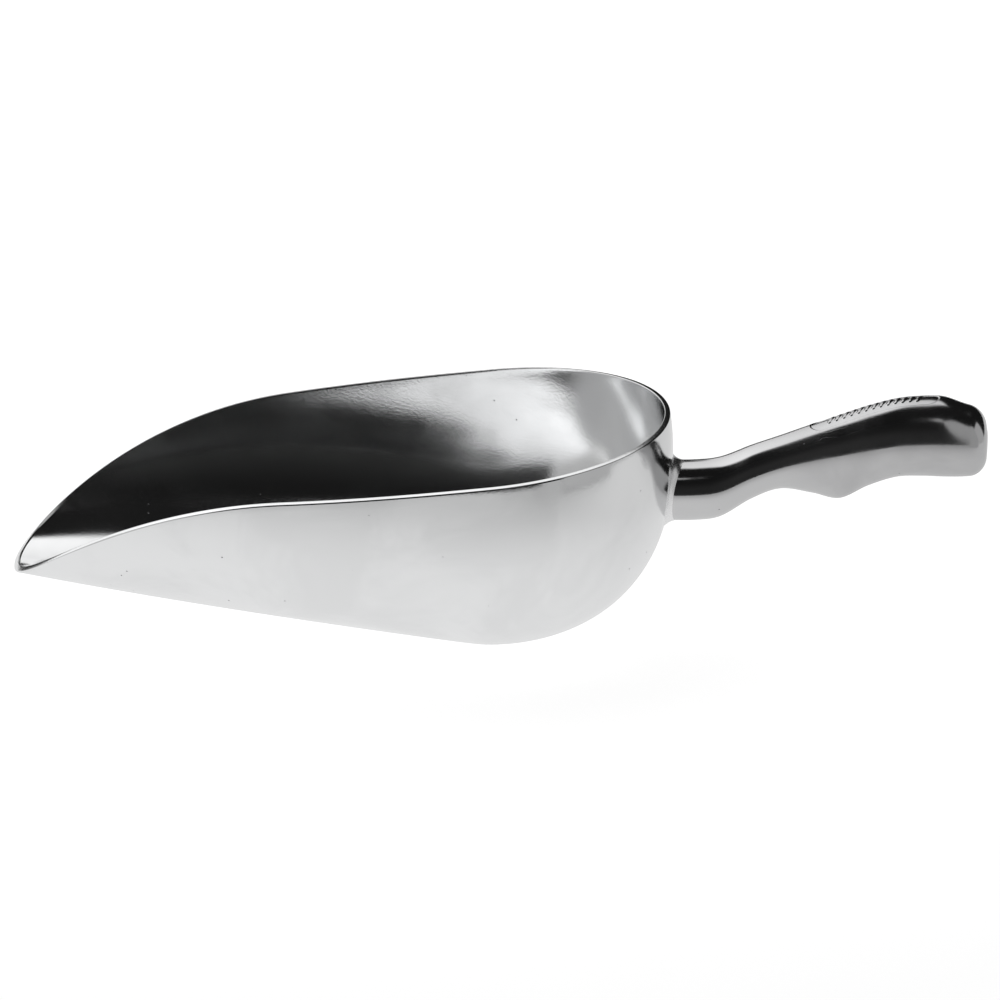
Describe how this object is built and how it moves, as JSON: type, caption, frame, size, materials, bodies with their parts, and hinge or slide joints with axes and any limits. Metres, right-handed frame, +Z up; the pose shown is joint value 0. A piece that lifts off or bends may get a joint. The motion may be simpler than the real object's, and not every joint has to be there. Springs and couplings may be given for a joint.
{
  "type": "ice scoop",
  "caption": "Hand scoop with a thin, round-bottomed, spoon-shaped aluminium bowl and a hollow cast grip with finger grooves, welded to the back of the bowl.",
  "frame": {"origin": "on the counter, under the centre of the bowl's round back, on the small flat that the scoop stands on", "axes": "+Z up, +X along the grip away from the bowl, -X towards the pouring tip, XZ the plane of symmetry"},
  "size_m": [0.3334, 0.1264, 0.0837],
  "materials": {
    "bowl": "polished",
    "handle": "cast and polished",
    "weld": "ground and polished"
  },
  "bodies": {
    "root": {"bowl": "bowl", "handle": "handle", "weld": "weld"}
  },
  "joints": []
}
